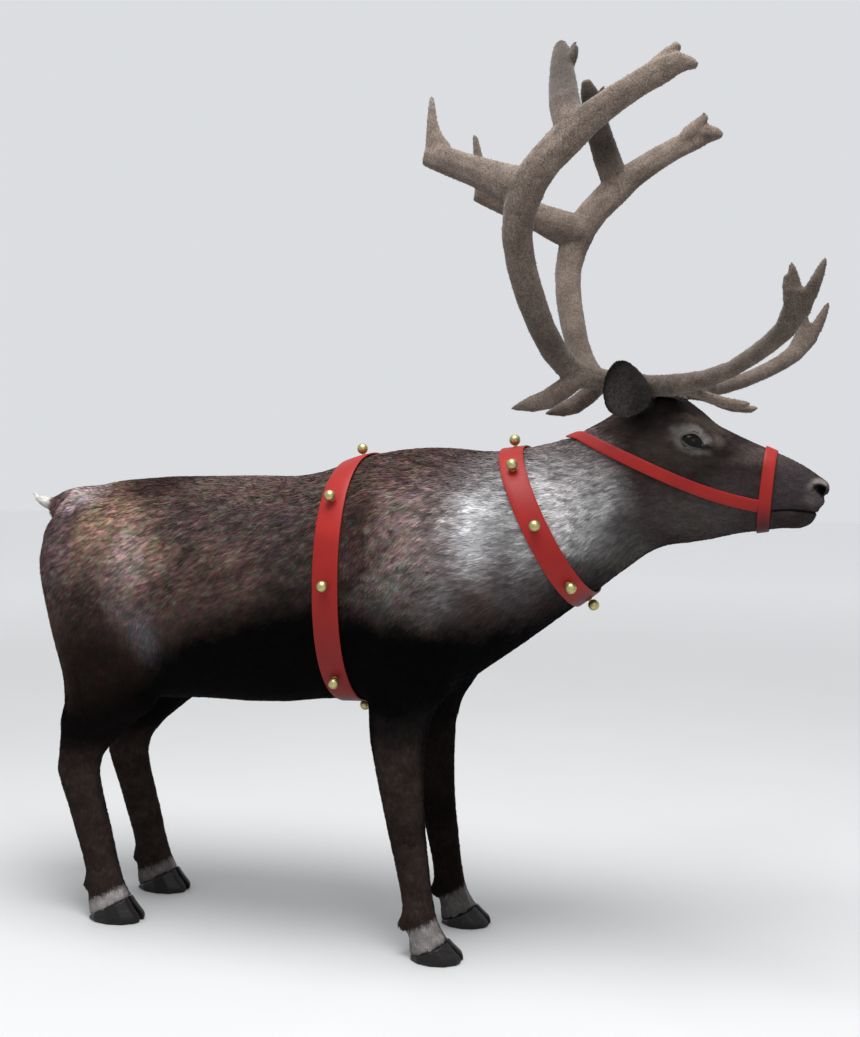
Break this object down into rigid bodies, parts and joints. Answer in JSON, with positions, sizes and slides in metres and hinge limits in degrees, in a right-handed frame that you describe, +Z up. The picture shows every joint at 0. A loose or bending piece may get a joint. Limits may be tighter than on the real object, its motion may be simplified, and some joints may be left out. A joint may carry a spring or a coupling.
{
  "type": "reindeer",
  "caption": "Life-size standing reindeer with branched velvet antlers, cloven hooves, red harness straps and round brass bells.",
  "frame": {"origin": "floor under the middle of the animal's outer box", "axes": "+X towards the muzzle, +Y to the animal's left, +Z up"},
  "size_m": [1.9504, 0.7078, 1.992],
  "materials": {
    "coat": "short mottled brown fur, black below",
    "shoulder": "short pale grey fur",
    "face": "very short dark brown fur",
    "legs": "short dark fur, pale above the hooves",
    "tail": "pale grey fur",
    "ears": "short dark grey fur",
    "eyes": "wet gloss",
    "velvet": "grey-brown antler velvet",
    "horn": "black satin horn",
    "strap": "smooth red leather",
    "brass": "polished pale brass"
  },
  "bodies": {
    "root": {"torso": "coat", "neck": "shoulder", "head": "face", "tail": "tail", "ear_left": "ears", "ear_right": "ears", "eye_left": "eyes", "eye_right": "eyes", "front_leg_left": "legs", "front_leg_right": "legs", "hind_leg_left": "legs", "hind_leg_right": "legs", "front_hoof_left_outer": "horn", "front_hoof_left_inner": "horn", "front_hoof_right_outer": "horn", "front_hoof_right_inner": "horn", "hind_hoof_left_outer": "horn", "hind_hoof_left_inner": "horn", "hind_hoof_right_outer": "horn", "hind_hoof_right_inner": "horn", "antler_beam_left": "velvet", "antler_beam_right": "velvet", "antler_upper_left": "velvet", "antler_upper_right": "velvet", "antler_vertical_left": "velvet", "antler_vertical_right": "velvet", "antler_rear_left": "velvet", "antler_rear_right": "velvet", "antler_front_left": "velvet", "antler_front_right": "velvet", "antler_brow_left": "velvet", "antler_brow_right": "velvet", "antler_back_left": "velvet", "antler_back_right": "velvet", "girth_strap": "strap", "collar_strap": "strap", "noseband": "strap", "headstall": "strap", "girth_bell_top": "brass", "girth_bell_bottom": "brass", "girth_bell_left_1": "brass", "girth_bell_left_2": "brass", "girth_bell_left_3": "brass", "girth_bell_right_1": "brass", "girth_bell_right_2": "brass", "girth_bell_right_3": "brass", "collar_bell_top": "brass", "collar_bell_bottom": "brass", "collar_bell_left_1": "brass", "collar_bell_left_2": "brass", "collar_bell_left_3": "brass", "collar_bell_right_1": "brass", "collar_bell_right_2": "brass", "collar_bell_right_3": "brass"}
  },
  "joints": []
}
